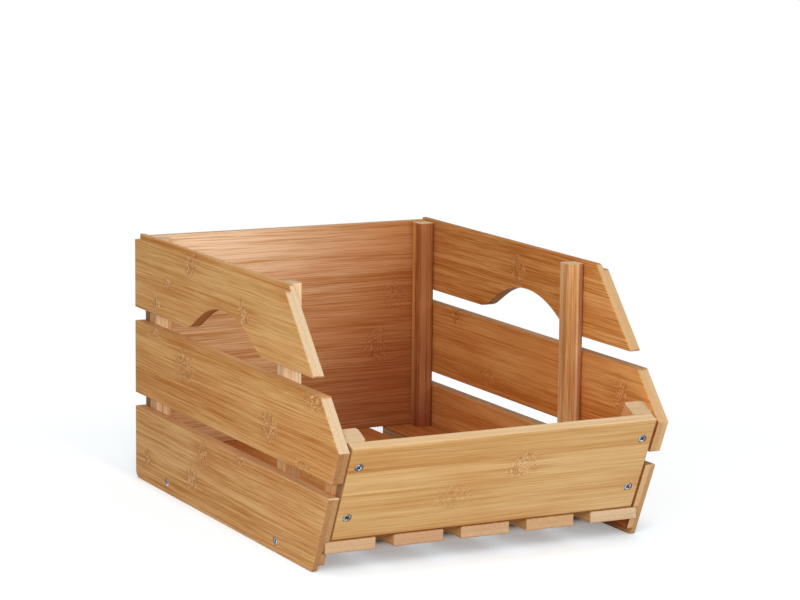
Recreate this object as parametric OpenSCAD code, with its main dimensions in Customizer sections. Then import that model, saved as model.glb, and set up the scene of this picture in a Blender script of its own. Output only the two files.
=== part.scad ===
// Stackable storage crate of laminated bamboo boards, open at the top and half open at the front.
// +Z is up, -Y is the open front, and the origin is the middle of the footprint on the ground.
// The upper side slats carry a tongue on their inner half. The lower side slats have a rabbet
// that drops over the tongue of the crate below, so that crates stand on each other.

/* [Crate] */
// Width over the outer faces of the side slats
crate_w = 300; // [250:1:400]
// Depth from the rear ends of the side slats to their nose
crate_d = 420; // [370:1:500]

/* [Side slats] */
// Thickness of a side slat
slat_t = 10; // [8:0.5:14]
// Height of a side slat, with the tongue on the upper one
slat_h = 66; // [58:1:80]
// Open gap between two side slats
slat_gap = 12; // [6:0.5:20]
// Height of the nose above the lower edge of the middle slat
nose_rise = 27; // [20:1:36]
// Slant of the front ends above the nose, in degrees from upright
front_slant = 41.5; // [30:0.5:45]
// Lean of the front ends below the nose and of the front board, in degrees from upright
front_lean = 24.5; // [14:0.5:30]
// Radius of the upper slat's top front corner
upper_corner_r = 6; // [2:0.5:10]
// Radius of the middle slat's top front corner
middle_corner_r = 8; // [2:0.5:12]
// Radius of the lower slat's bottom rear corner
tail_corner_r = 10; // [3:0.5:16]
// Radius of the lower slat's bottom front corner
toe_corner_r = 5; // [2:0.5:8]
// Radius of the middle slat's bottom front corner
heel_corner_r = 3; // [1:0.5:5]
// Radius of the other front corners
small_corner_r = 1.5; // [1:0.25:3]
// Radius that eases the long edges of all boards
edge_r = 1.25; // [0.5:0.25:2]

/* [Stacking joint] */
// Height of the tongue on top of the upper side slats
tongue_h = 4.5; // [3:0.5:6]
// Part of the slat's thickness that the tongue takes
tongue_share = 0.5; // [0.4:0.05:0.6]
// Play between a tongue and the rabbet over it
stack_play = 0.5; // [0.2:0.1:1]

/* [Handle arches] */
// Middle of the handle arch from the rear ends of the slats
handle_back = 198; // [150:1:210]
// Height of the handle arch above the slat's lower edge
handle_rise = 27; // [22:0.5:34]
// Radius of the top of the handle arch
handle_top_r = 105; // [80:1:120]
// Radius that eases the two feet of the handle arch
handle_foot_r = 35; // [10:1:45]
// Slope of the two flanks of the handle arch, in degrees
handle_slope = 30; // [27:0.5:34]

/* [Back board] */
// Thickness of the back board
back_t = 10; // [8:0.5:14]
// Drop of the back board's top below the tongue's top
back_drop = 1.6; // [0.5:0.1:4]

/* [Front board] */
// Thickness of the front board
front_t = 10; // [8:0.5:14]
// How far the front board stands up past the nose, along its lean
front_rise = 3; // [0:0.5:8]
// How far the front board's face lies behind the slats' front ends
front_inset = 0.8; // [0.7:0.1:3]
// Gap between each end of the front board and the side slats
front_end_gap = 0.9; // [0.2:0.1:1.5]
// Radius of the front board's edges
front_edge_r = 2; // [1:0.25:3]

/* [Floor] */
// Number of floor slats
floor_count = 5; // [4:1:6]
// Width of a floor slat
floor_slat_w = 45; // [35:0.5:46]
// Thickness of a floor slat
floor_slat_t = 10; // [8:0.5:12]
// Radius of the floor slats' edges
floor_edge_r = 1.75; // [0.5:0.25:2.5]
// How far the floor stops short of the slats' rear ends
floor_rear_in = 2; // [0:0.5:8]
// How far the outer floor slats reach into the grooves of the lower side slats
groove_reach = 4; // [2:0.5:5]
// Play around a floor slat in its groove
groove_play = 0.3; // [0.1:0.1:0.6]

/* [Cross battens] */
// Width of a cross batten, from front to back
batten_w = 20; // [16:1:30]
// Height of a cross batten
batten_h = 14; // [11:0.5:18]
// Gap between the cross battens and the ground
batten_lift = 2.5; // [1:0.5:6]
// Middle of the rear batten from the rear ends of the lower slats
rear_batten_in = 73; // [50:1:110]
// Middle of the front batten from the front ends of the lower slats, at the ground
front_batten_in = 70; // [50:1:110]

/* [Posts] */
// Width of the rear and middle posts, across the crate
post_w = 16; // [12:0.5:22]
// Depth of the rear and middle posts, from front to back
post_d = 16; // [12:0.5:22]
// Drop of the rear and middle posts' tops below the tongue's top
post_drop = 2.5; // [1:0.25:6]
// Distance from the upper slat's front end back to the middle post, at the post's top
middle_post_in = 20.5; // [12:0.5:40]
// Width of the front posts, across the crate
front_post_w = 18; // [16:0.5:24]
// Depth of the front posts, square to the front board
front_post_d = 18; // [14:0.5:24]
// Drop of the front posts' tops below the front board's top, along the lean
front_post_drop = 0.8; // [0.2:0.1:6]
// Radius of the upright edges of all posts
post_edge_r = 3; // [1:0.5:4]

/* [Screws] */
// Diameter of a countersunk head
head_d = 7.6; // [6.4:0.1:8]
// Diameter of a shank
shank_d = 3.8; // [3:0.1:4.4]
// Length of a pointed tip
tip_l = 4; // [2:0.5:5]
// Length of the front and back board screws
board_screw_l = 24; // [20:0.5:25]
// Length of the screws through the lower side slats into the cross battens
batten_screw_l = 26; // [20:0.5:34]
// Length of the screws through the cross battens into the floor slats
floor_screw_l = 20; // [18:0.5:21]
// Distance of the board screws from the side slats' inner faces
board_screw_in = 10.8; // [8:0.2:11]
// Height of the lower front screws above the front board's lower edge
front_screw_low = 23; // [15:0.5:30]
// Depth of the upper front screws below the front board's upper edge
front_screw_high = 18.5; // [12:0.5:26]
// Distance of the back screws from the back board's lower and upper edges
back_screw_in = 32; // [16:1:60]
// How far the floor screws stand off the batten's middle, clear of its end screws
floor_screw_off = 5; // [4.5:0.25:6]
// How far a head's top lies below the face around it
head_sink = 0.4; // [0:0.1:0.5]
// Width of the arms of the cross recess
recess_w = 1.1; // [0.6:0.1:1.3]
// Length of the arms of the cross recess, tip to tip
recess_l = 4.6; // [3:0.1:5]
// Depth of the cross recess
recess_h = 1.4; // [1:0.1:1.6]
// Diameter of the recess's round core, at the head's top
recess_core_d = 2.4; // [1.6:0.1:2.8]
// Clearance around a screw in its hole
screw_play = 0.05; // [0.05:0.05:0.2]

/* [Hidden] */
$fn = 64;

// Overrun of a cut past the face that it opens
cut_over = 1;

slat_colour = [0.78, 0.57, 0.33];
board_colour = [0.84, 0.65, 0.40];
inside_colour = [0.66, 0.41, 0.23];
pale_colour = [0.90, 0.76, 0.56];
zinc_colour = [0.66, 0.70, 0.76];

// Planes that the pieces meet at
inner_x = crate_w / 2 - slat_t;
outer_x = crate_w / 2;
rear_y = crate_d / 2;
nose_y = -crate_d / 2;

// Heights of the side slats
middle_low = slat_h + slat_gap;
middle_high = middle_low + slat_h;
upper_low = middle_high + slat_gap;
crate_h = upper_low + slat_h;
shoulder_z = crate_h - tongue_h;
nose_z = middle_low + nose_rise;

// Stacking joint
tongue_t = slat_t * tongue_share;
rabbet_h = tongue_h + stack_play;
rabbet_t = tongue_t + stack_play;

// Floor
floor_low = batten_lift + batten_h;
floor_top = floor_low + floor_slat_t;
floor_edge_x = inner_x + groove_reach;
floor_pitch = (2 * floor_edge_x - floor_slat_w) / (floor_count - 1);

// Front board, along its lean from the lower slats' front ends at the ground
toe_y = front_y(0);
floor_front_y = front_y(floor_top);
front_rounding = front_edge_r * (cos(front_lean) + sin(front_lean) - 1);
front_start = (floor_top - front_rounding - front_inset * sin(front_lean)) / cos(front_lean);
front_end = nose_z / cos(front_lean) + front_rise;
front_w = 2 * (inner_x - front_end_gap);

// Cross battens
rear_batten_y = rear_y - rear_batten_in;
front_batten_y = toe_y + front_batten_in;
batten_ys = [rear_batten_y, front_batten_y];

// Posts
post_top = crate_h - post_drop;
middle_post_y = front_y(post_top) + middle_post_in;
back_face_y = rear_y - back_t;
back_top = crate_h - back_drop;

// Screws
head_h = (head_d - shank_d) / 2;
tip_d = shank_d / 4;
board_screw_x = inner_x - board_screw_in;
front_screw_heights = [front_start + front_screw_low, front_end - front_screw_high];
back_screw_heights = [floor_top + back_screw_in, back_top - back_screw_in];

// Front end of the side at a height
function front_y(z) =
    z < nose_z ? nose_y + (nose_z - z) * tan(front_lean) : nose_y + (z - nose_z) * tan(front_slant);

// Middle of a floor slat, counted from the left
function floor_slat_x(index) = -floor_edge_x + floor_slat_w / 2 + index * floor_pitch;

function unit(v) = v / norm(v);

// What a rounding of radius r takes off the corner at b, between the sides towards a and c
module corner_waste(a, b, c, r) {
    side_a = unit(a - b);
    side_c = unit(c - b);
    half_angle = acos(side_a * side_c) / 2;
    reach = r / tan(half_angle);
    centre = b + unit(side_a + side_c) * r / sin(half_angle);
    grow = 1 + cut_over / r;
    difference() {
        polygon([for (p = [centre, b + side_a * reach, b, b + side_c * reach]) centre + (p - centre) * grow]);
        translate(centre) circle(r);
    }
}

// Rectangle from low to high with rounded corners
module eased_rectangle(low, high, r) {
    corners = [low, [high[0], low[1]], high, [low[0], high[1]]];
    difference() {
        polygon(corners);
        for (i = [0:3]) corner_waste(corners[(i + 3) % 4], corners[i], corners[(i + 1) % 4], r);
    }
}

// Block from low to high with all its edges eased
module eased_block(low, high, r) {
    intersection() {
        translate([low[0] - cut_over, 0, 0])
            rotate([90, 0, 90])
                linear_extrude(high[0] - low[0] + 2 * cut_over)
                    eased_rectangle([low[1], low[2]], [high[1], high[2]], r);
        translate([0, high[1] + cut_over, 0])
            rotate([90, 0, 0])
                linear_extrude(high[1] - low[1] + 2 * cut_over)
                    eased_rectangle([low[0], low[2]], [high[0], high[2]], r);
        translate([0, 0, low[2] - cut_over])
            linear_extrude(high[2] - low[2] + 2 * cut_over)
                eased_rectangle([low[0], low[1]], [high[0], high[1]], r);
    }
}

// Upright bar with rounded long edges, from low to high
module rounded_bar(low, high, r) {
    translate([0, 0, low[2]])
        linear_extrude(high[2] - low[2])
            eased_rectangle([low[0], low[1]], [high[0], high[1]], r);
}

// Stretches an outline drawn in Y and Z across X, from x_low to x_high
module across(x_low, x_high) {
    translate([x_low, 0, 0]) rotate([90, 0, 90]) linear_extrude(x_high - x_low) children();
}

// Stretches an outline drawn in Y and Z through a right side slat and past both its faces
module through_slat() {
    across(inner_x - cut_over, outer_x + cut_over) children();
}

// A piece made for the right side, on side 1, or mirrored to the left, on side -1
module on_side(side) {
    if (side < 0) mirror([1, 0, 0]) children();
    else children();
}

// What lies in front of the side's front end, between two heights, drawn in Y and Z
module front_waste(z_low, z_high) {
    bottom = z_low - cut_over;
    top = z_high + cut_over;
    bend = z_low < nose_z && z_high > nose_z ? [[nose_y, nose_z]] : [];
    far_y = nose_y - 3 * cut_over;
    polygon(concat([[front_y(bottom), bottom]], bend, [[front_y(top), top], [far_y, top], [far_y, bottom]]));
}

// What eases the long edges of a front end face that runs from p up to q, drawn in Y and Z
module end_face_waste(p, q) {
    run = q - p;
    translate([0, p[0], p[1]])
        rotate([atan2(-run[0], run[1]), 0, 0])
            translate([0, 0, -cut_over])
                linear_extrude(norm(run) + 2 * cut_over) {
                    corner_waste([inner_x, 0], [outer_x, 0], [outer_x, slat_t], edge_r);
                    corner_waste([outer_x, 0], [inner_x, 0], [inner_x, slat_t], edge_r);
                }
}

// Right side slat between two heights, with its front end cut
module side_slat(z_low, z_high) {
    difference() {
        eased_block([inner_x, nose_y - 2 * cut_over, z_low], [outer_x, rear_y, z_high], edge_r);
        through_slat() front_waste(z_low, z_high);
    }
}

// What the handle arch opens, drawn in Y and Z from the middle of its foot line
module handle_arch() {
    top_side_y = handle_top_r * sin(handle_slope);
    top_side_z = handle_rise - handle_top_r * (1 - cos(handle_slope));
    foot_y = top_side_y + top_side_z / tan(handle_slope);
    flank_run = (handle_rise + cut_over) / tan(handle_slope);
    intersection() {
        translate([0, handle_rise - handle_top_r]) circle(handle_top_r, $fn = 180);
        translate([-top_side_y, top_side_z]) square([2 * top_side_y, handle_rise]);
    }
    polygon([
        [-foot_y, 0], [-top_side_y, top_side_z], [top_side_y, top_side_z],
        [foot_y, 0], [foot_y, -cut_over], [-foot_y, -cut_over]
    ]);
    for (side = [-1, 1])
        corner_waste([side * (foot_y + flank_run), 0], [side * foot_y, 0], [side * top_side_y, top_side_z], handle_foot_r);
}

// Side slats, drawn on the right and mirrored to the left

module upper_slat(side) {
    front_low = [front_y(upper_low), upper_low];
    front_shoulder = [front_y(shoulder_z), shoulder_z];
    front_tongue = [front_y(crate_h), crate_h];
    color(slat_colour) on_side(side) {
        difference() {
            union() {
                difference() {
                    side_slat(upper_low, shoulder_z);
                    through_slat() corner_waste([rear_y, shoulder_z], front_shoulder, front_low, upper_corner_r);
                }
                difference() {
                    eased_block(
                        [inner_x, nose_y, upper_low + handle_rise],
                        [inner_x + tongue_t, rear_y, crate_h],
                        edge_r
                    );
                    through_slat() front_waste(upper_low, crate_h);
                    through_slat() corner_waste([rear_y, crate_h], front_tongue, front_low, upper_corner_r);
                }
            }
            through_slat() corner_waste(front_shoulder, front_low, [rear_y, upper_low], small_corner_r);
            end_face_waste(front_low, front_tongue);
            through_slat() translate([rear_y - handle_back, upper_low]) handle_arch();
        }
    }
}

module middle_slat(side) {
    front_low = [front_y(middle_low), middle_low];
    front_high = [front_y(middle_high), middle_high];
    nose = [nose_y, nose_z];
    color(slat_colour) on_side(side) {
        difference() {
            difference() {
                side_slat(middle_low, middle_high);
                through_slat() {
                    corner_waste([rear_y, middle_high], front_high, nose, middle_corner_r);
                    corner_waste(front_high, nose, front_low, small_corner_r);
                    corner_waste(nose, front_low, [rear_y, middle_low], heel_corner_r);
                }
            }
            union() {
                end_face_waste(front_low, nose);
                end_face_waste(nose, front_high);
            }
        }
    }
}

module lower_slat(side) {
    toe = [toe_y, 0];
    inner_toe = [front_y(rabbet_h), rabbet_h];
    front_high = [front_y(slat_h), slat_h];
    color(slat_colour) on_side(side) {
        difference() {
            difference() {
                side_slat(0, slat_h);
                end_face_waste(toe, front_high);
            }
            through_slat() {
                corner_waste([rear_y, slat_h], front_high, toe, small_corner_r);
                corner_waste(front_high, toe, [rear_y, 0], toe_corner_r);
                corner_waste([toe_y, 0], [rear_y, 0], [rear_y, slat_h], tail_corner_r);
            }
            // Rabbet that drops over the tongue of the crate below
            translate([inner_x - cut_over, nose_y, -cut_over])
                cube([cut_over + rabbet_t, crate_d + cut_over, cut_over + rabbet_h]);
            across(inner_x - cut_over, inner_x + rabbet_t)
                corner_waste(front_high, inner_toe, [rear_y, rabbet_h], toe_corner_r);
            // Groove that holds the edge of the outer floor slat
            translate([inner_x - cut_over, nose_y, floor_low - groove_play])
                cube([
                    cut_over + groove_reach + groove_play,
                    crate_d + cut_over,
                    floor_slat_t + 2 * groove_play
                ]);
            for (y = batten_ys)
                translate([outer_x, y, batten_lift + batten_h / 2])
                    rotate([0, 90, 0])
                        screw_hole(batten_screw_l);
        }
    }
}

// Boards

module back_board() {
    color(inside_colour) difference() {
        eased_block([-inner_x, back_face_y, floor_top], [inner_x, rear_y, back_top], edge_r);
        back_screw_places() screw_hole(board_screw_l);
    }
}

// Puts a piece in the front board's own frame: Y runs square into the board, Z runs up its lean
module in_front_frame() {
    translate([0, toe_y, 0]) rotate([front_lean, 0, 0]) translate([0, front_inset, 0]) children();
}

module front_board() {
    color(board_colour) in_front_frame() difference() {
        eased_block([-front_w / 2, 0, front_start], [front_w / 2, front_t, front_end], front_edge_r);
        front_screw_places() screw_hole(board_screw_l);
    }
}

module floor_slat(index) {
    middle = floor_slat_x(index);
    color(pale_colour) difference() {
        eased_block(
            [middle - floor_slat_w / 2, floor_front_y, floor_low],
            [middle + floor_slat_w / 2, rear_y - floor_rear_in, floor_top],
            floor_edge_r
        );
        floor_screw_places(index) screw_hole(floor_screw_l);
    }
}

module cross_batten(middle_y) {
    color(pale_colour) difference() {
        eased_block(
            [-inner_x, middle_y - batten_w / 2, batten_lift],
            [inner_x, middle_y + batten_w / 2, floor_low],
            edge_r
        );
        for (side = [-1, 1])
            on_side(side)
                translate([outer_x, middle_y, batten_lift + batten_h / 2])
                    rotate([0, 90, 0])
                        screw_hole(batten_screw_l);
        for (index = [0:floor_count - 1]) floor_screw_places(index) screw_hole(floor_screw_l);
    }
}

// Posts, drawn on the right and mirrored to the left

module rear_post(side) {
    color(inside_colour) on_side(side) difference() {
        rounded_bar([inner_x - post_w, back_face_y - post_d, floor_top], [inner_x, back_face_y, post_top], post_edge_r);
        back_screw_places() screw_hole(board_screw_l);
    }
}

module middle_post(side) {
    color(slat_colour) on_side(side)
        rounded_bar(
            [inner_x - post_w, middle_post_y, floor_top],
            [inner_x, middle_post_y + post_d, post_top],
            post_edge_r
        );
}

module front_post(side) {
    color(pale_colour) on_side(side) difference() {
        in_front_frame() difference() {
            rounded_bar(
                [inner_x - front_post_w, front_t, 0],
                [inner_x, front_t + front_post_d, front_end - front_post_drop],
                post_edge_r
            );
            front_screw_places() screw_hole(board_screw_l);
        }
        // Foot cut level, flat on the floor slats
        translate([0, nose_y, -floor_top]) cube([crate_w, crate_d, 2 * floor_top]);
    }
}

// Screws, drawn from the face around the head at the origin, with the tip towards -Z

module screw(length) {
    translate([0, 0, -head_sink]) difference() {
        union() {
            translate([0, 0, -head_h]) cylinder(h = head_h, d1 = shank_d, d2 = head_d);
            translate([0, 0, tip_l - length]) cylinder(h = length - tip_l - head_h, d = shank_d);
            translate([0, 0, -length]) cylinder(h = tip_l, d1 = tip_d, d2 = shank_d);
        }
        for (turn = [45, 135])
            rotate([0, 0, turn])
                translate([-recess_l / 2, -recess_w / 2, -recess_h])
                    cube([recess_l, recess_w, recess_h + cut_over]);
        translate([0, 0, -recess_h]) cylinder(h = recess_h, d1 = recess_w, d2 = recess_core_d);
    }
}

// Countersunk hole that a screw of this length fits
module screw_hole(length) {
    hole_d = shank_d + 2 * screw_play;
    sink_d = head_d + 2 * screw_play;
    translate([0, 0, -head_sink]) {
        translate([0, 0, -head_h]) cylinder(h = head_h, d1 = hole_d, d2 = sink_d);
        cylinder(h = cut_over + head_sink, d = sink_d);
        translate([0, 0, -length - screw_play]) cylinder(h = length + screw_play, d = hole_d);
    }
}

// Places of the screws, each with its head's top on the board and its tip inside

module front_screw_places() {
    for (x = [-board_screw_x, board_screw_x], z = front_screw_heights)
        translate([x, 0, z]) rotate([90, 0, 0]) children();
}

module back_screw_places() {
    for (x = [-board_screw_x, board_screw_x], z = back_screw_heights)
        translate([x, rear_y, z]) rotate([-90, 0, 0]) children();
}

module batten_screw_places() {
    for (y = batten_ys)
        translate([outer_x, y, batten_lift + batten_h / 2]) rotate([0, 90, 0]) children();
}

module floor_screw_places(index) {
    for (y = batten_ys)
        translate([floor_slat_x(index), y + floor_screw_off, batten_lift]) rotate([180, 0, 0]) children();
}

module front_board_screws() {
    color(zinc_colour) in_front_frame() front_screw_places() screw(board_screw_l);
}

module back_board_screws() {
    color(zinc_colour) back_screw_places() screw(board_screw_l);
}

module batten_screws(side) {
    color(zinc_colour) on_side(side) batten_screw_places() screw(batten_screw_l);
}

module floor_screws() {
    color(zinc_colour) for (index = [0:floor_count - 1]) floor_screw_places(index) screw(floor_screw_l);
}

upper_slat(-1);  // left_upper_slat
middle_slat(-1);  // left_middle_slat
lower_slat(-1);  // left_lower_slat
upper_slat(1);  // right_upper_slat
middle_slat(1);  // right_middle_slat
lower_slat(1);  // right_lower_slat
back_board();
front_board();
floor_slat(0);  // floor_slat_1
floor_slat(1);  // floor_slat_2
floor_slat(2);  // floor_slat_3
floor_slat(3);  // floor_slat_4
floor_slat(4);  // floor_slat_5
rear_post(-1);  // rear_left_post
rear_post(1);  // rear_right_post
middle_post(-1);  // middle_left_post
middle_post(1);  // middle_right_post
front_post(-1);  // front_left_post
front_post(1);  // front_right_post
cross_batten(rear_batten_y);  // rear_batten
cross_batten(front_batten_y);  // front_batten
front_board_screws();
back_board_screws();
batten_screws(-1);  // left_batten_screws
batten_screws(1);  // right_batten_screws
floor_screws();
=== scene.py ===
from collections import namedtuple
import math
import random

import bpy
from mathutils import Matrix, Vector


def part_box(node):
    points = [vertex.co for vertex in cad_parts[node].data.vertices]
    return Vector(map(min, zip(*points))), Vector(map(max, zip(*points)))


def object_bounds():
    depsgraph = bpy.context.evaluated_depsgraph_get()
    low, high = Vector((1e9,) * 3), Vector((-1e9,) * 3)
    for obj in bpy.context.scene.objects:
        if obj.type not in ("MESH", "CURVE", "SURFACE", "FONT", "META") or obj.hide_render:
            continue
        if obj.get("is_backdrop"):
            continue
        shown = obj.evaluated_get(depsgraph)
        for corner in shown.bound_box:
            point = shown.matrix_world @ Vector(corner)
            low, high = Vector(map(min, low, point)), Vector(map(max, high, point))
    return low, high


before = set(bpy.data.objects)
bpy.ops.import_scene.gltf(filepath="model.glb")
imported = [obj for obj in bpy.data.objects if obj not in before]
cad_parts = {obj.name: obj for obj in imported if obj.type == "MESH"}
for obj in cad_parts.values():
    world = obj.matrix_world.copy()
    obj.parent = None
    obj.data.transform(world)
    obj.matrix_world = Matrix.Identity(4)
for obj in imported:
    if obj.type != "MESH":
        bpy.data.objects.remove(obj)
cad_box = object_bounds()

# Directions and sizes of the crate in metres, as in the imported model
X, Y, Z = Vector((1, 0, 0)), Vector((0, 1, 0)), Vector((0, 0, 1))
LEAN = math.radians(24.5)
UP_LEAN = Vector((0, -math.sin(LEAN), math.cos(LEAN)))
IN_LEAN = Vector((0, math.cos(LEAN), math.sin(LEAN)))
TOE = Vector((0, -0.16215, 0))
FRONT_INSET = 0.0008
CRATE_WIDTH = 0.300
SIDE_DEPTH = 0.010
LEAN_FACE = TOE.dot(IN_LEAN) + FRONT_INSET
LEAN_FOOT = TOE.dot(UP_LEAN)
FRONT_BOARD_DEPTH = 0.010
FRONT_POST_DEPTH = 0.018
FACE_TOLERANCE = 0.0005

# Knot: a growth ring of the cane, by its middle and half sizes along and across the grain, and its strength.
# Bar: a strip of the face with a colour of its own. Fade: a change of tone along a direction, start to end.
Knot = namedtuple("Knot", "along across length width strength", defaults=[1.0])
Bar = namedtuple("Bar", "low high colour")
Fade = namedtuple("Fade", "direction start end colour")


# Shader helpers

class Nodes:
    """Short calls for the nodes of one tree, which starts empty."""

    def __init__(self, tree):
        self.tree = tree
        tree.nodes.clear()

    def new(self, kind):
        return self.tree.nodes.new(kind)

    def link(self, a, b):
        self.tree.links.new(a, b)

    def put(self, socket, value):
        if isinstance(value, bpy.types.NodeSocket):
            self.link(value, socket)
        else:
            socket.default_value = value

    def math(self, operation, a, b=0.0, c=0.0, clamp=False):
        n = self.new("ShaderNodeMath")
        n.operation = operation
        n.use_clamp = clamp
        for socket, value in zip(n.inputs, (a, b, c)):
            self.put(socket, value)
        return n.outputs[0]

    def add(self, a, b):
        return self.math("ADD", a, b)

    def sub(self, a, b):
        return self.math("SUBTRACT", a, b)

    def mul(self, a, b):
        return self.math("MULTIPLY", a, b)

    def divide(self, a, b):
        return self.math("DIVIDE", a, b)

    def larger(self, a, b):
        return self.math("MAXIMUM", a, b)

    def size(self, a):
        return self.math("ABSOLUTE", a)

    def centred(self, value, strength):
        """A noise from 0 to 1, as a push up or down of this strength."""
        return self.mul(self.sub(value, 0.5), strength)

    def ramp(self, value, low, high, to_low=0.0, to_high=1.0):
        n = self.new("ShaderNodeMapRange")
        n.interpolation_type = "SMOOTHSTEP"
        for socket, v in zip(n.inputs, (value, low, high, to_low, to_high)):
            self.put(socket, v)
        return n.outputs[0]

    def vector(self, x, y, z):
        n = self.new("ShaderNodeCombineXYZ")
        for socket, value in zip(n.inputs, (x, y, z)):
            self.put(socket, value)
        return n.outputs[0]

    def vector_math(self, operation, a, b=(0.0, 0.0, 0.0)):
        n = self.new("ShaderNodeVectorMath")
        n.operation = operation
        self.put(n.inputs[0], a)
        self.put(n.inputs[1], tuple(b))
        return n.outputs["Value"]

    def dot(self, a, axis):
        return self.vector_math("DOT_PRODUCT", a, axis)

    def length(self, a, b):
        """The length of an arrow with these two parts."""
        return self.math("SQRT", self.add(self.mul(a, a), self.mul(b, b)))

    def noise(self, vector, detail=2.0, roughness=0.5, distortion=0.0):
        n = self.new("ShaderNodeTexNoise")
        self.put(n.inputs["Vector"], vector)
        n.inputs["Scale"].default_value = 1.0
        n.inputs["Detail"].default_value = detail
        n.inputs["Roughness"].default_value = roughness
        n.inputs["Distortion"].default_value = distortion
        return n.outputs[0]

    def cells(self, vector):
        """How far the nearest of many scattered points lies."""
        n = self.new("ShaderNodeTexVoronoi")
        n.feature = "F1"
        self.put(n.inputs["Vector"], vector)
        n.inputs["Scale"].default_value = 1.0
        return n.outputs["Distance"]

    def chance(self, vector):
        """A random value of its own for each place."""
        n = self.new("ShaderNodeTexWhiteNoise")
        n.noise_dimensions = "3D"
        self.put(n.inputs["Vector"], vector)
        return n.outputs["Value"]

    def mix(self, share, a, b, kind="MIX"):
        n = self.new("ShaderNodeMix")
        n.data_type = "RGBA"
        n.blend_type = kind
        n.clamp_result = False
        self.put(n.inputs["Factor"], share)
        for socket, value in ((n.inputs[6], a), (n.inputs[7], b)):
            self.put(socket, value if isinstance(value, bpy.types.NodeSocket) else (*value, 1.0))
        return n.outputs[2]

    def stained(self, colour, share, paint):
        """The colour with a share of it multiplied by the paint."""
        return self.mix(share, colour, self.mix(1.0, colour, paint, "MULTIPLY"))

    def blend(self, share, first, second, output):
        """Lets the output show a share of the second shader over the first."""
        n = self.new("ShaderNodeMixShader")
        self.put(n.inputs[0], share)
        self.link(first.outputs[0], n.inputs[1])
        self.link(second.outputs[0], n.inputs[2])
        self.link(n.outputs[0], output.inputs[0])

    def camera_rays(self):
        """1 for rays straight from the camera."""
        return self.new("ShaderNodeLightPath").outputs["Is Camera Ray"]

    def mirrored_rays(self):
        """1 for rays that come by way of metal or glass."""
        rays = self.new("ShaderNodeLightPath").outputs
        return self.math("ADD", rays["Is Glossy Ray"], rays["Is Transmission Ray"], clamp=True)

    def seen_rays(self):
        return self.math("ADD", self.camera_rays(), self.mirrored_rays(), clamp=True)


class Shader(Nodes):
    """One material, with its point and normal in the crate's own frame."""

    def __init__(self, name):
        self.material = bpy.data.materials.new(name)
        self.material.use_nodes = True
        super().__init__(self.material.node_tree)
        self.output = self.new("ShaderNodeOutputMaterial")
        self.point = self.new("ShaderNodeTexCoord").outputs["Object"]
        self.normal = self.new("ShaderNodeNewGeometry").outputs["Normal"]

    def facing(self, axis):
        """How far the surface faces along the axis, or against it."""
        return self.size(self.dot(self.normal, axis))

    def finish(self, colour, roughness, height, bump_strength, bump_depth, **constants):
        """Puts these on a plain surface shader. The constants are named as its sockets are."""
        surface = self.new("ShaderNodeBsdfPrincipled")
        self.link(surface.outputs[0], self.output.inputs[0])
        self.put(surface.inputs["Base Color"], colour)
        self.put(surface.inputs["Roughness"], roughness)
        bump = self.new("ShaderNodeBump")
        bump.inputs["Strength"].default_value = bump_strength
        bump.inputs["Distance"].default_value = bump_depth
        self.put(bump.inputs["Height"], height)
        self.link(bump.outputs[0], surface.inputs["Normal"])
        for socket, value in constants.items():
            surface.inputs[socket.replace("_", " ")].default_value = value
        return self.material


# In all that follows, the steps of a noise are those per metre. A range is where a ramp starts and ends, and
# with four numbers also its value there. A paint is a strength and a colour. A tone may be over 1.

# Bamboo: what a piece may set, and the usual values
USUAL = {
    "knots": (),
    "strip": 0.021,  # width of the strips that a ply is glued from
    "contrast": 1.0,  # of the whole grain
    "strip_contrast": 0.35,  # between one strip and the next
    "rare_lines": 0.32,  # strength of the few dark lines
    "knot_contrast": 1.0,
    "tone": None,  # a colour that the wood is multiplied by
    "plies": None,  # a tone for each ply
    "inner": None,  # 1 or -1 where only the ply on that side has the fades and the painted inner shade
    "fades": (),
    "painted_inner_shade": None,  # painted shade: a darker, redder colour for the faces inside the crate
    "bars": (),
    "sawn": (0.680, 0.430, 0.240),  # edges along the grain
    "ends": ((0.760, 0.600, 0.410), (0.600, 0.408, 0.228)),  # pale and dark of the cut ends
    "shaded_low_ends": None,  # painted shade: darker copies of the end colours for ends that face down, as on the side slats; it also turns on the painted shade of the undersides
}

# Grain: steps per metre along and across it, detail and roughness of the noise, and strength in the colour
Layer = namedtuple("Layer", "along across detail roughness strength")
LAYERS = {
    "fibre": Layer(34.0, 2600.0, 2.0, 0.55, 1.60),
    "lines": Layer(11.0, 1150.0, 2.0, 0.60, 2.30),
    "streaks": Layer(5.0, 380.0, 3.0, 0.60, 1.35),
    "bands": Layer(2.0, 95.0, 1.0, 0.55, 0.85),
    "rare": Layer(3.0, 620.0, 1.0, 0.55, None),
}
DEPTH_STEP_SHARE = 0.8
SEED_STEP = 0.731
CLOUD_STEPS = (5.0, 12.0, 10.0)
CLOUD_SEED_STEP = 3.1
CLOUD_STRENGTH = 0.70
WARMTH_STEPS = (7.0, 26.0, 12.0)
WARMTH_SEED_STEP = 1.7
WARMTH_RANGE = (0.42, 0.62)
WARM_CAST = (0.93, 0.83, 0.76)
BEND_STEPS = (9.0, 22.0)
BEND_PLY_STEP = 5.0
BEND_DETAIL = 1.0
BEND = 0.0034
PLY_STRIP_SHIFT = 0.41
STRIP_GRAIN_SHIFT = 7.0
RARE_RANGE = (0.66, 0.80)
DARK_SHARE = 0.40
PALE_WOOD = (0.748, 0.485, 0.206)
DARK_WOOD = (0.483, 0.213, 0.045)

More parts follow.
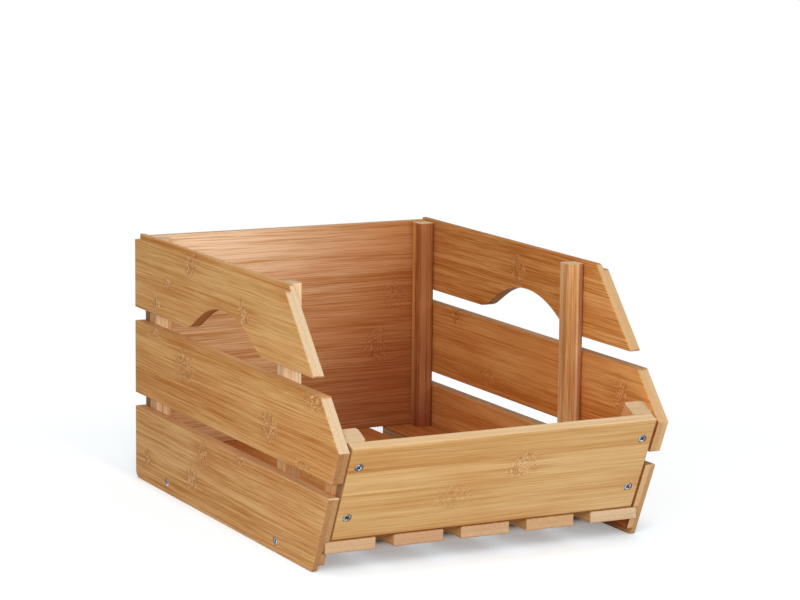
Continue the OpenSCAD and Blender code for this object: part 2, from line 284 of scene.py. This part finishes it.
# Knots: a stained patch with a ragged edge, full of short curls, and fingers of stain along the grain
RAGGED_STEPS = (150.0, 120.0, 90.0)
RAGGED = 1.6
PATCH_RANGE = (1.20, 0.75)
PATCH_STAIN = (0.42, (0.560, 0.265, 0.080))
FINGER_ALONG = math.sqrt(0.12)
FINGER_RANGE = (1.30, 0.20)
FINGER_STREAKS = (0.46, 0.57, 0.05, 1.00)
FINGER_STAIN = (0.80, (0.500, 0.220, 0.060))
CURL_STEPS = (330.0, 260.0, 200.0)
CURL_NOISE = (1.0, 0.5, 1.2)
DARK_CURL_RANGE = (0.045, 0.110)
DARK_CURLS = (0.50, (0.340, 0.135, 0.032))
PALE_CURL_RANGE = (0.048, 0.014)
PALE_CURLS = (0.70, (0.860, 0.620, 0.320))
CURL_HEIGHT = 1.1

# Edges, ends and seams
EDGE_RANGE = (0.68, 0.88)
SAWN_SHARE = 0.45
# Painted shade: faces that look down are darker
UNDERSIDE_SHADE_RANGE = (-0.55, -0.80)
UNDERSIDE_SHADE = (0.62, 0.48, 0.40)
UPWARD_RANGE = (0.10, 0.45)
INNER_RANGE = (0.0010, 0.0042)
END_RANGE = (0.45, 0.65)
END_LINES, END_STREAKS, END_PLY, END_LESS = 0.50, 0.55, 0.30, 0.24
LOW_END_PLY = 0.4
BUNDLE_STEPS = (120.0, 900.0, 900.0)
BUNDLE_RANGE = (0.36, 0.16)
BUNDLES = (0.20, (0.430, 0.240, 0.105))
PLY_DRAW = 3.0
BROAD_RANGE = (0.80, 0.55)
GLUE_WAVE = 0.0004
GLUE_RANGE = (0.00045, 0.00012)
GLUE = (0.20, (0.360, 0.180, 0.070))
SEAM_RANGE = (0.486, 0.4965)
SEAMS = (0.20, (0.350, 0.175, 0.070))

# Surface of the bamboo
ROUGHNESS = 0.44
LINE_ROUGHNESS, CLOUD_ROUGHNESS = 0.16, 0.10
FIBRE_HEIGHT, LINE_HEIGHT = 0.5, 0.6
WOOD_BUMP = (0.35, 0.00022)
WOOD_SPECULAR = 0.06


class Bamboo(Shader):
    """Two-ply bamboo. axes are its grain, face and thickness directions, and middle is where the plies meet.
    The look says what differs from the usual values. seed sets the draw of its grain."""

    def __init__(self, name, axes, middle, seed, **look):
        super().__init__(name)
        self.look = {**USUAL, **look}
        self.along, self.across, self.through = axes
        self.shift = seed * SEED_STEP
        self.u = self.dot(self.point, self.along)
        self.v = self.dot(self.point, self.across)
        self.w = self.sub(self.dot(self.point, self.through), middle)
        self.ply = self.math("GREATER_THAN", self.w, 0.0)
        self.make_grain()

    def place(self, steps, offset=0.0):
        """A place on the board, in steps along, across and through it."""
        along, across, through = steps
        through_part = self.add(self.mul(self.w, through), offset)
        return self.vector(self.mul(self.u, along), self.mul(self.v, across), through_part)

    def make_grain(self):
        bend_along, bend_across = BEND_STEPS
        bend_draw = self.add(self.mul(self.ply, BEND_PLY_STEP), self.shift)
        bend_place = self.vector(self.mul(self.u, bend_along), self.mul(self.v, bend_across), bend_draw)
        self.bend = self.noise(bend_place, BEND_DETAIL)
        bent = self.add(self.v, self.centred(self.bend, BEND))
        ply_shift = self.add(self.mul(self.ply, PLY_STRIP_SHIFT), self.shift)
        self.strips = self.add(self.divide(self.v, self.look["strip"]), ply_shift)
        row = self.math("FLOOR", self.strips)
        self.strip_tone = self.chance(self.vector(row, self.ply, self.shift))
        strip_shift = self.mul(self.strip_tone, STRIP_GRAIN_SHIFT)
        self.grain = {}
        for name, layer in LAYERS.items():
            along = self.add(self.mul(self.u, layer.along), strip_shift)
            through = self.add(self.mul(self.w, layer.across * DEPTH_STEP_SHARE), self.shift)
            where = self.vector(along, self.mul(bent, layer.across), through)
            self.grain[name] = self.noise(where, layer.detail, layer.roughness)
        self.cloud = self.noise(self.place(CLOUD_STEPS, self.shift * CLOUD_SEED_STEP))

    def wood(self):
        """The colour of the bare faces."""
        share = self.centred(self.strip_tone, self.look["strip_contrast"])
        share = self.add(share, self.centred(self.cloud, CLOUD_STRENGTH))
        for name, layer in LAYERS.items():
            if layer.strength is not None:
                share = self.add(share, self.centred(self.grain[name], layer.strength))
        share = self.math("MULTIPLY_ADD", share, self.look["contrast"], DARK_SHARE)
        rare = self.mul(self.ramp(self.grain["rare"], *RARE_RANGE), self.look["rare_lines"])
        share = self.math("ADD", share, rare, clamp=True)
        warmth = self.noise(self.place(WARMTH_STEPS, self.shift * WARMTH_SEED_STEP))
        colour = self.mix(share, PALE_WOOD, DARK_WOOD)
        return self.stained(colour, self.ramp(warmth, *WARMTH_RANGE), WARM_CAST)

    def add_knots(self, colour):
        """The colour with the knots on it, and what they add to the height."""
        if not self.look["knots"]:
            return colour, None
        ragged = self.centred(self.noise(self.place(RAGGED_STEPS)), RAGGED)
        curls = self.noise(self.place(CURL_STEPS, self.shift), *CURL_NOISE)
        off_line = self.size(self.sub(curls, 0.5))
        patch = fingers = 0.0
        for knot in self.look["knots"]:
            along = self.divide(self.sub(self.u, knot.along), knot.length)
            across = self.divide(self.sub(self.v, knot.across), knot.width)
            near = self.add(self.length(along, across), ragged)
            patch = self.larger(patch, self.ramp(near, *PATCH_RANGE, 0.0, knot.strength))
            far = self.length(self.mul(along, FINGER_ALONG), across)
            fingers = self.larger(fingers, self.ramp(far, *FINGER_RANGE, 0.0, knot.strength))
        fingers = self.mul(fingers, self.ramp(self.grain["streaks"], *FINGER_STREAKS))
        dark_curls = self.mul(patch, self.ramp(off_line, *DARK_CURL_RANGE))
        pale_curls = self.mul(patch, self.ramp(off_line, *PALE_CURL_RANGE))
        contrast = self.look["knot_contrast"]
        colour = self.painted(colour, fingers, FINGER_STAIN)
        colour = self.painted(colour, patch, PATCH_STAIN, contrast)
        colour = self.painted(colour, dark_curls, DARK_CURLS, contrast)
        colour = self.painted(colour, pale_curls, PALE_CURLS, contrast)
        return colour, self.mul(self.mul(patch, curls), CURL_HEIGHT)

    def painted(self, colour, mask, paint, contrast=1.0):
        strength, paint_colour = paint
        return self.mix(self.mul(mask, strength * contrast), colour, paint_colour)

    def add_tones(self, colour):
        """The sawn edges, the painted shade of the undersides, a tone with its bars, and the fades and the
        painted shade of the inner ply; most fades and the low bar of the front board are painted light and
        shade.
        """
        look = self.look
        if look["sawn"] is not None:
            edge = self.ramp(self.facing(self.across), *EDGE_RANGE)
            colour = self.mix(self.mul(edge, SAWN_SHARE), colour, look["sawn"])
        if look["shaded_low_ends"] is not None:
            # painted shade on the faces that look down
            painted_underside = self.ramp(self.dot(self.normal, Z), *UNDERSIDE_SHADE_RANGE)
            colour = self.stained(colour, painted_underside, UNDERSIDE_SHADE)
        for bar in look["bars"]:
            above = self.math("GREATER_THAN", self.v, bar.low)
            below = self.math("LESS_THAN", self.v, bar.high)
            colour = self.stained(colour, self.mul(above, below), bar.colour)
        if look["tone"] is not None:
            colour = self.stained(colour, 1.0, look["tone"])
        if look["plies"] is not None:
            colour = self.stained(colour, 1.0, self.mix(self.ply, *look["plies"]))
        share = 1.0
        if look["inner"] is not None:
            share = self.ramp(self.mul(self.w, look["inner"]), *INNER_RANGE)
        for fade in look["fades"]:
            reach = self.ramp(self.dot(self.point, fade.direction), fade.start, fade.end)
            colour = self.stained(colour, self.mul(share, reach), fade.colour)
        if look["painted_inner_shade"] is not None:
            colour = self.stained(colour, share, look["painted_inner_shade"])
        return colour

    def add_ends(self, colour):
        """The cut ends, with the dots of the fibre bundles and a tone for each ply."""
        lines = self.mul(self.grain["lines"], END_LINES)
        streaks = self.mul(self.grain["streaks"], END_STREAKS)
        ply_tone = self.chance(self.vector(self.ply, self.shift, PLY_DRAW))
        tone = self.add(self.add(lines, streaks), self.mul(ply_tone, END_PLY))
        tone = self.math("SUBTRACT", tone, END_LESS, clamp=True)
        bundles = self.ramp(self.cells(self.place(BUNDLE_STEPS)), *BUNDLE_RANGE)
        end_colour = self.painted(self.mix(tone, *self.look["ends"]), bundles, BUNDLES)
        # Ends that face down take the darker colours, a painted shade
        if self.look["shaded_low_ends"] is not None:
            upward = self.ramp(self.dot(self.normal, Z), *UPWARD_RANGE)
            low_tone = self.math("ADD", tone, self.mul(ply_tone, LOW_END_PLY), clamp=True)
            end_colour = self.mix(upward, self.mix(low_tone, *self.look["shaded_low_ends"]), end_colour)
        return self.mix(self.ramp(self.facing(self.along), *END_RANGE), colour, end_colour)

    def add_seams(self, colour):
        """The glue line between the plies on the narrow faces, and the strips' seams on the broad ones."""
        narrow = self.ramp(self.facing(self.through), *BROAD_RANGE)
        off_middle = self.size(self.add(self.w, self.centred(self.bend, GLUE_WAVE)))
        glue = self.mul(narrow, self.ramp(off_middle, *GLUE_RANGE))
        off_seam = self.size(self.sub(self.math("FRACT", self.strips), 0.5))
        seam = self.mul(self.ramp(off_seam, *SEAM_RANGE), self.sub(1.0, narrow))
        colour = self.painted(colour, glue, GLUE)
        return self.painted(colour, seam, SEAMS)

    def made(self):
        colour, knot_height = self.add_knots(self.wood())
        colour = self.add_seams(self.add_ends(self.add_tones(colour)))
        lines = self.grain["lines"]
        rough = self.add(self.mul(lines, LINE_ROUGHNESS), self.mul(self.cloud, CLOUD_ROUGHNESS))
        rough = self.math("ADD", rough, ROUGHNESS, clamp=True)
        height = self.add(self.mul(self.grain["fibre"], FIBRE_HEIGHT), self.mul(lines, LINE_HEIGHT))
        if knot_height is not None:
            height = self.add(height, knot_height)
        return self.finish(colour, rough, height, *WOOD_BUMP, Specular_IOR_Level=WOOD_SPECULAR)


# Zinc of the screws

SAME_HEAD = 0.010
HEAD_DEPTH = 0.0002
BLOTCH_STEP = 300.0
BLOTCH_RANGE = (0.42, 0.58)
# Painted reflection: the zinc changes between dark and pale in patches
ZINC_DARK = (0.200, 0.270, 0.360)
ZINC_PALE = (0.780, 0.850, 0.920)
# Painted shade at the rim and in the cross recess; the rim's brown is a painted reflection of the wood
RIM_SHADE_RANGE = (0.0027, 0.0033)
RIM_SHADE = (0.175, 0.120, 0.090)
RECESS_SHADE_RANGE = (0.00008, 0.00030)
RECESS_SHADE = (0.085, 0.115, 0.170)
ZINC_ROUGHNESS = (0.3, 0.7, 0.36, 0.20)
ZINC_BUMP = (0.15, 0.0001)


def head_centres(mesh, into, side, up):
    """How deep the heads' tops lie, and the middle of each head along side and up."""
    top = min(v.co.dot(into) for v in mesh.vertices)
    heads = []
    for v in mesh.vertices:
        if v.co.dot(into) > top + HEAD_DEPTH:
            continue
        place = (v.co.dot(side), v.co.dot(up))
        for head in heads:
            if math.dist(head[0], place) < SAME_HEAD:
                head.append(place)
                break
        else:
            heads.append([place])
    return top, [[(min(c) + max(c)) / 2 for c in zip(*head)] for head in heads]


def zinc(name, mesh, into, side, up):
    """Bright zinc plating, slightly blue. into is the screws' direction; side and up lie square to it.
    The rim and the cross recess are darkened with painted shade, the rim brown as a painted reflection of
    the wood, as each screw's own axis and depth tell. The patches of dark and pale zinc are a painted
    reflection."""
    s = Shader(name)
    top, centres = head_centres(mesh, into, side, up)
    along_side, along_up = s.dot(s.point, side), s.dot(s.point, up)
    nearest = None
    for centre_side, centre_up in centres:
        away = s.length(s.sub(along_side, centre_side), s.sub(along_up, centre_up))
        nearest = away if nearest is None else s.math("MINIMUM", nearest, away)
    depth = s.sub(s.dot(s.point, into), top)
    blotch_and_reflection = s.noise(s.vector(*[s.mul(s.dot(s.point, axis), BLOTCH_STEP) for axis in (side, up, into)]))
    # painted reflection in patches
    colour = s.mix(s.ramp(blotch_and_reflection, *BLOTCH_RANGE), ZINC_DARK, ZINC_PALE)
    colour = s.mix(s.ramp(nearest, *RIM_SHADE_RANGE), colour, RIM_SHADE)
    colour = s.mix(s.ramp(depth, *RECESS_SHADE_RANGE), colour, RECESS_SHADE)
    return s.finish(colour, s.ramp(blotch_and_reflection, *ZINC_ROUGHNESS), blotch_and_reflection, *ZINC_BUMP, Metallic=1.0)


# Tones that several pieces share
# Painted shade for the faces inside the crate: darker and redder
INSIDE_SHADE = (1.00, 0.80, 0.64)
BOARD_ENDS = (0.400, 0.220, 0.100), (0.280, 0.140, 0.060)

# Knots of faces that the photograph doesn't show: place within a knot's own stretch, and half sizes
KNOT_PLACE_SHARES = (0.15, 0.85)
KNOT_LENGTHS = (0.006, 0.009)
KNOT_WIDTHS = (0.007, 0.011)


def some_knots(seed, low, high, count):
    """Knots drawn by seed, between two corners along and across the grain."""
    rng = random.Random(seed)
    knots = []
    for i in range(count):
        along = low[0] + (high[0] - low[0]) * (i + rng.uniform(*KNOT_PLACE_SHARES)) / count
        across = rng.uniform(low[1], high[1])
        knots.append(Knot(along, across, rng.uniform(*KNOT_LENGTHS), rng.uniform(*KNOT_WIDTHS)))
    return knots


def middle_of(node):
    low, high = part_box(node)
    return (low + high) / 2


# Side slats: places of the knots as in the photograph, along Y and Z

LEFT_SIDE = {
    "inner": 1,
    "shaded_low_ends": ((0.660, 0.420, 0.200), (0.350, 0.155, 0.058)),
    "knot_contrast": 1.10,
    # sawn edges, darker in part as painted shade for the handle hole's cut face
    "sawn": (0.620, 0.380, 0.190),
}
RIGHT_SIDE = {
    "inner": -1,
    "ends": ((0.720, 0.475, 0.250), (0.540, 0.310, 0.138)),
    "shaded_low_ends": ((0.740, 0.500, 0.260), (0.500, 0.280, 0.120)),
    # painted shade: the right slats' top and bottom edges are dark, as in shade
    "sawn": (0.270, 0.170, 0.120),
}
# Painted light: the right slats' inner faces are lighter towards the front
PAINTED_FRONT_LIGHT = Fade(Y, 0.06, -0.16, (1.24, 1.30, 1.34))
# Painted shade: darker where the slat meets the front board
PAINTED_FRONT_SHADE = Fade(IN_LEAN, LEAN_FACE + 0.0020, LEAN_FACE + 0.0005, (0.45, 0.34, 0.32))
# Painted shade: the inner face darker low down at the foot
PAINTED_FOOT_SHADE = Fade((1.0, 0.0, 0.5), 0.152, 0.146, (0.55, 0.42, 0.42))
# Takes the painted inner shade off the tongue at the top of the slat
PALE_TOP = Fade(Z, 0.2165, 0.2185, (1.00, 1.25, 1.55))
SIDE_SLATS = {
    "left_upper_slat": {
        "tone": (1.10, 1.04, 1.00),
        "contrast": 0.80,
        "fades": [PALE_TOP],
        "knots": [
            Knot(0.083, 0.210, 0.012, 0.010),
            Knot(-0.028, 0.188, 0.011, 0.011),
            Knot(0.160, 0.166, 0.010, 0.008),
            Knot(0.128, 0.188, 0.008, 0.006),
        ],
    },
    "left_middle_slat": {
        "tone": (1.07, 0.96, 0.87),
        "knots": [
            Knot(0.164, 0.141, 0.012, 0.006),
            Knot(0.097, 0.121, 0.022, 0.0135),
            Knot(-0.163, 0.139, 0.017, 0.008),
            Knot(-0.080, 0.101, 0.014, 0.012),
            Knot(-0.143, 0.081, 0.015, 0.006),
        ],
    },
    "left_lower_slat": {
        "tone": (1.08, 1.00, 1.00),
        "knots": [
            Knot(0.055, 0.052, 0.010, 0.012),
            Knot(0.079, 0.026, 0.012, 0.011),
            Knot(-0.022, 0.064, 0.008, 0.008),
            Knot(0.180, 0.024, 0.007, 0.008),
        ],
    },
    "right_upper_slat": {
        "tone": (1.00, 1.00, 1.02),
        "contrast": 1.50,
        "fades": [PAINTED_FRONT_LIGHT],
        "knots": [Knot(0.026, 0.197, 0.015, 0.014)],
    },
    "right_middle_slat": {
        "tone": (0.98, 0.92, 0.90),
        "fades": [PAINTED_FRONT_LIGHT, PAINTED_FRONT_SHADE],
        "knots": [
            Knot(0.140, 0.139, 0.010, 0.008),
            Knot(0.079, 0.092, 0.012, 0.010, 0.5),
            Knot(-0.150, 0.117, 0.011, 0.016),
        ],
    },
    "right_lower_slat": {
        "tone": (0.98, 0.94, 0.98),
        "fades": [PAINTED_FRONT_LIGHT, PAINTED_FRONT_SHADE, PAINTED_FOOT_SHADE],
        "knots": [Knot(-0.060, 0.036, 0.008, 0.009), Knot(0.010, 0.020, 0.007, 0.008)],
    },
}


def side_slat(node, seed):
    side = LEFT_SIDE if node.startswith("left") else RIGHT_SIDE
    middle = -side["inner"] * (CRATE_WIDTH / 2 - SIDE_DEPTH / 2)
    return Bamboo(node, (Y, Z, X), middle, seed, painted_inner_shade=INSIDE_SHADE, **side, **SIDE_SLATS[node])


# Front and back boards

FRONT_LOOK = {
    "contrast": 0.54,
    "strip_contrast": 0.80,
    "rare_lines": 0.46,
    "tone": (0.925, 0.950, 1.020),
    "ends": BOARD_ENDS,
    "knot_contrast": 0.80,
    "sawn": (0.860, 0.620, 0.360),
    "knots": [
        Knot(0.020, LEAN_FOOT + 0.087, 0.012, 0.013),
        Knot(-0.037, LEAN_FOOT + 0.061, 0.020, 0.011, 0.45),
    ],
    "fades": [
        Fade(X, -0.14, 0.14, (1.06, 1.09, 1.16)),
        Fade(UP_LEAN, LEAN_FOOT + 0.07, LEAN_FOOT + 0.02, (1.03, 1.08, 1.14)),
    ],
}
# A painted shade line along the front board's low edge
EDGE_SHADE_BELOW, EDGE_SHADE_ABOVE = 0.002, 0.0016
PAINTED_EDGE_SHADE = (0.50, 0.37, 0.31)


def front_board(node, seed):
    places = [v.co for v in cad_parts[node].data.vertices]
    face = [place for place in places if place.dot(IN_LEAN) < LEAN_FACE + FACE_TOLERANCE]
    low_edge = min(place.dot(UP_LEAN) for place in face)
    # painted shade line where the board meets the floor slats
    painted_edge_shade = Bar(low_edge - EDGE_SHADE_BELOW, low_edge + EDGE_SHADE_ABOVE, PAINTED_EDGE_SHADE)
    middle = LEAN_FACE + FRONT_BOARD_DEPTH / 2
    return Bamboo(node, (X, UP_LEAN, IN_LEAN), middle, seed, bars=[painted_edge_shade], **FRONT_LOOK)


BACK_LOOK = {
    "contrast": 1.10,
    # The back board's inner face carries a painted shade, darker and redder
    "painted_inner_shade": (0.80, 0.55, 0.46),
    "inner": -1,
    "knot_contrast": 0.75,
    "ends": BOARD_ENDS,
    "fades": [
        # Painted shade: darker low down and to the right
        Fade((0.6, 0.0, -1.0), -0.12, 0.0, (0.80, 0.70, 0.78)),
        # Painted light: much paler towards the left
        Fade(X, 0.12, -0.10, (1.56, 2.42, 3.95)),
        # Painted light: paler towards the top
        Fade(Z, 0.130, 0.170, (1.05, 1.13, 1.32)),
    ],
}
BACK_KNOTS = [Knot(0.106, 0.155, 0.011, 0.015, 0.6), Knot(0.087, 0.105, 0.012, 0.016)]
BACK_CORNERS = (-0.13, 0.03), (0.06, 0.085)
BOARD_KNOT_COUNT = 3


def back_board(node, seed):
    knots = BACK_KNOTS + some_knots(seed, *BACK_CORNERS, BOARD_KNOT_COUNT)
    return Bamboo(node, (X, Z, Y), middle_of(node).y, seed, knots=knots, **BACK_LOOK)


# Floor slats and battens

FLOOR_LOOK = {
    "painted_inner_shade": INSIDE_SHADE,
    "inner": 1,
    # Painted shade: dark sides, and tops darker towards the rear
    "sawn": (0.380, 0.190, 0.085),
    "fades": [Fade(Y, 0.02, 0.17, (0.80, 0.64, 0.60))],
}
FLOOR_ENDS = (0.700, 0.480, 0.290), (0.440, 0.240, 0.120)
FLOOR_END_TONES = {
    "floor_slat_1": (0.96, 0.98, 0.98),
    "floor_slat_2": (0.85, 0.77, 0.75),
    "floor_slat_3": (0.92, 0.90, 0.90),
    "floor_slat_4": (0.94, 0.91, 0.86),
    "floor_slat_5": (1.08, 1.22, 1.32),
}
FLOOR_KNOTS_FROM, FLOOR_KNOTS_TO, FLOOR_MARGIN = -0.15, 0.19, 0.010
BATTEN_KNOTS_TO, BATTEN_MARGIN = 0.12, 0.006
BATTEN_KNOT_COUNT = 2


def floor_slat(node, seed):
    low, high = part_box(node)
    corners = (FLOOR_KNOTS_FROM, low.x + FLOOR_MARGIN), (FLOOR_KNOTS_TO, high.x - FLOOR_MARGIN)
    ends = [[c * t for c, t in zip(colour, FLOOR_END_TONES[node])] for colour in FLOOR_ENDS]
    knots = some_knots(seed, *corners, BOARD_KNOT_COUNT)
    return Bamboo(node, (Y, X, Z), middle_of(node).z, seed, knots=knots, ends=ends, **FLOOR_LOOK)


def batten(node, seed):
    low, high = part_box(node)
    corners = (-BATTEN_KNOTS_TO, low.y + BATTEN_MARGIN), (BATTEN_KNOTS_TO, high.y - BATTEN_MARGIN)
    knots = some_knots(seed, *corners, BATTEN_KNOT_COUNT)
    return Bamboo(node, (X, Y, Z), middle_of(node).z, seed, knots=knots)


# Posts, of narrower strips and with no knots

POST = {"strip": 0.0055, "sawn": None}
POST_LOOKS = {
    "front": {
        "tone": (1.30, 1.20, 1.35),
        "contrast": 0.7,
        "ends": ((0.720, 0.550, 0.350), (0.560, 0.370, 0.200)),
    },
    "rear_left_post": {"tone": (1.36, 1.52, 2.25), "strip_contrast": 0.6},
    "rear_right_post": {
        "plies": ((0.68, 0.46, 0.42), (1.00, 0.78, 0.58)),
        "contrast": 1.6,
        "strip_contrast": 0.8,
        "fades": [
            # Painted shade: darker towards the foot
            Fade(Z, 0.16, 0.04, (0.84, 0.76, 0.84)),
            Fade(Z, 0.060, 0.020, (0.78, 0.62, 0.66)),
        ],
    },
    "middle_left_post": {
        "tone": (1.44, 1.84, 2.95),
        "contrast": 0.6,
        "strip_contrast": 0.6,
        # Painted shade: browner low down
        "fades": [Fade(Z, 0.120, 0.080, (0.88, 0.72, 0.56))],
    },
    "middle_right_post": {
        "tone": (1.12, 1.15, 1.40),
        "plies": ((1.04, 1.06, 1.18), (1.05, 1.02, 1.03)),
        "strip_contrast": 0.6,
        "fades": [Fade(Z, 0.150, 0.050, (1.00, 0.95, 0.92))],
    },
}
DARK_STRIP_WIDTH, DARK_STRIP_OVER = 0.0052, 0.001
DARK_STRIP = (0.62, 0.46, 0.42)


def front_post(node, seed):
    middle = LEAN_FACE + FRONT_BOARD_DEPTH + FRONT_POST_DEPTH / 2
    return Bamboo(node, (UP_LEAN, X, IN_LEAN), middle, seed, **POST, **POST_LOOKS["front"])


def upright_post(node, seed):
    bars = ()
    if node == "middle_right_post":
        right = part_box(node)[1].x
        bars = [Bar(right - DARK_STRIP_WIDTH, right + DARK_STRIP_OVER, DARK_STRIP)]
    return Bamboo(node, (Z, X, Y), middle_of(node).y, seed, bars=bars, **POST, **POST_LOOKS[node])


# Each node gets its material. The order of the nodes sets the seeds

SCREW_AXES = {
    "front_board_screws": (IN_LEAN, X, UP_LEAN),
    "back_board_screws": (-Y, X, Z),
    "left_batten_screws": (X, Y, Z),
    "right_batten_screws": (-X, Y, Z),
    "floor_screws": (Z, X, Y),
}
MAKERS = [
    ("floor_slat", floor_slat),
    ("slat", side_slat),
    ("front_board", front_board),
    ("back_board", back_board),
    ("batten", batten),
    ("front", front_post),
    ("post", upright_post),
]

for seed, (node, obj) in enumerate(sorted(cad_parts.items()), start=1):
    if node in SCREW_AXES:
        material = zinc(node, obj.data, *SCREW_AXES[node])
    else:
        maker = next(maker for word, maker in MAKERS if word in node)
        material = maker(node, seed).made()
    obj.data.materials.clear()
    obj.data.materials.append(material)


# Floor: seen by the camera it is paper white, with the crate's shadow on it and a painted shadow under the
# front edge

FLOOR_SIZE = 40
PAPER = (0.80, 0.80, 0.80)
WHITE = (1.0, 1.0, 1.0)
FRONT_SHADOW = (0.02, -0.24, 0.0)
FRONT_SHADOW_RANGE = (0.12, 0.34)
FRONT_SHADOW_PAPER = (1.30, 1.50, 1.68)
SHOWN_PAPER = (1.42, 1.52, 1.58)
RIGHT_CLEAR_RANGE, RIGHT_CLEAR = (0.152, 0.200), 0.80
LEFT_CLEAR_RANGE, LEFT_CLEAR = (-0.148, -0.162), 0.92
FAR_CLEAR_RANGE = (0.27, 0.55)
# Painted shadow under the front edge: where it lies, its grey and its share
TOE_FRONT_RANGE = (-0.192, -0.160)
TOE_REAR_RANGE = (-0.09, -0.13)
TOE_SIDE_RANGE = (0.155, 0.135)
TOE_PAINTED_SHADOW = (-0.144, -0.178, 0.50, 0.92)
TOE_SHARE = 0.62


def floor_material():
    """Paper that the lamps light, with plain white over it beside the crate and far from it.
    Under the front edge a painted grey shadow evens out the light that falls through the crate's floor."""
    s = Shader("studio_floor")
    x, y = s.dot(s.point, X), s.dot(s.point, Y)
    paper = s.new("ShaderNodeBsdfDiffuse")
    front = s.ramp(s.vector_math("DISTANCE", s.point, FRONT_SHADOW), *FRONT_SHADOW_RANGE)
    lit = s.mix(s.mirrored_rays(), PAPER, WHITE)
    shown = s.mix(front, FRONT_SHADOW_PAPER, SHOWN_PAPER)
    s.put(paper.inputs["Color"], s.mix(s.camera_rays(), lit, shown))
    right = s.mul(s.ramp(x, *RIGHT_CLEAR_RANGE), RIGHT_CLEAR)
    left = s.mul(s.ramp(x, *LEFT_CLEAR_RANGE), LEFT_CLEAR)
    far = s.ramp(s.length(x, y), *FAR_CLEAR_RANGE)
    clear = s.larger(s.larger(right, left), far)
    toe = s.mul(s.ramp(y, *TOE_FRONT_RANGE), s.ramp(y, *TOE_REAR_RANGE))
    toe = s.mul(toe, s.ramp(s.size(x), *TOE_SIDE_RANGE))
    painted_shadow = s.ramp(y, *TOE_PAINTED_SHADOW)
    glow = s.new("ShaderNodeEmission")
    s.put(glow.inputs["Color"], s.mix(toe, WHITE, s.vector(painted_shadow, painted_shadow, painted_shadow)))
    share = s.mul(s.seen_rays(), s.larger(clear, s.mul(toe, TOE_SHARE)))
    s.blend(share, paper, glow, s.output)
    return s.material


bpy.ops.mesh.primitive_plane_add(size=FLOOR_SIZE, location=(0, 0, 0))
floor = bpy.context.object
floor.name = "studio_floor"
floor.data.materials.append(floor_material())
floor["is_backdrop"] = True


# World: a soft even sky, which the camera sees as plain white

SKY_STRENGTH = 0.34


def studio_world():
    world = bpy.data.worlds.new("studio")
    world.use_nodes = True
    n = Nodes(world.node_tree)
    sky = n.new("ShaderNodeBackground")
    sky.inputs["Strength"].default_value = SKY_STRENGTH
    white = n.new("ShaderNodeBackground")
    for background in (sky, white):
        background.inputs["Color"].default_value = (*WHITE, 1.0)
    n.blend(n.seen_rays(), sky, white, n.new("ShaderNodeOutputWorld"))
    return world


bpy.context.scene.world = studio_world()

# Lamps: direction in degrees, distance and size in metres, and the level to which they light a white face
Lamp = namedtuple("Lamp", "name azimuth elevation distance size level")
LAMP_TARGET = Vector((0, -0.1, 0.1))
LAMPS = [
    Lamp("key", -38, 24, 1.7, 1.0, 0.52),
    Lamp("front", 20, 14, 2.6, 1.4, 0.305),
    Lamp("top", 170, 80, 2.8, 3.6, 0.28),
]


def add_lamp(lamp):
    """A round soft lamp, turned to the crate."""
    azimuth, elevation = math.radians(lamp.azimuth), math.radians(lamp.elevation)
    flat = math.cos(elevation)
    away = Vector((math.sin(azimuth) * flat, -math.cos(azimuth) * flat, math.sin(elevation)))
    light = bpy.data.lights.new(lamp.name, "AREA")
    light.shape = "DISK"
    light.size = lamp.size
    light.energy = lamp.level * math.pi ** 2 * lamp.distance ** 2
    obj = bpy.data.objects.new(lamp.name, light)
    bpy.context.scene.collection.objects.link(obj)
    obj.location = LAMP_TARGET + away * lamp.distance
    obj.rotation_euler = (-away).to_track_quat("-Z", "Y").to_euler()
    obj.visible_camera = False


for lamp in LAMPS:
    add_lamp(lamp)

# Camera, in metres and degrees, with its focal length in pixels of an image 800 wide
CAMERA_PLACE = Vector((-1.08019, -2.11749, 0.57722))
YAW, PITCH, ROLL = -27.23, -9.39, 0.61
FOCAL_PIXELS = 2819.03
IMAGE_WIDTH = 800
SENSOR_WIDTH = 36
CLIP_END = 60


def turned(degrees, axis):
    return Matrix.Rotation(math.radians(degrees), 4, axis)


lens = bpy.data.cameras.new("camera")
lens.sensor_width = SENSOR_WIDTH
lens.lens = SENSOR_WIDTH * FOCAL_PIXELS / IMAGE_WIDTH
lens.clip_end = CLIP_END
camera = bpy.data.objects.new("camera", lens)
bpy.context.scene.collection.objects.link(camera)
turn = turned(YAW, "Z") @ turned(90 + PITCH, "X") @ turned(ROLL, "Z")
camera.matrix_world = Matrix.Translation(CAMERA_PLACE) @ turn
bpy.context.scene.camera = camera
bpy.context.scene.view_settings.view_transform = "Standard"


plain = lambda box: [[round(float(c), 6) for c in corner] for corner in box]
{"cad": plain(cad_box), "visual": plain(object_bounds())}
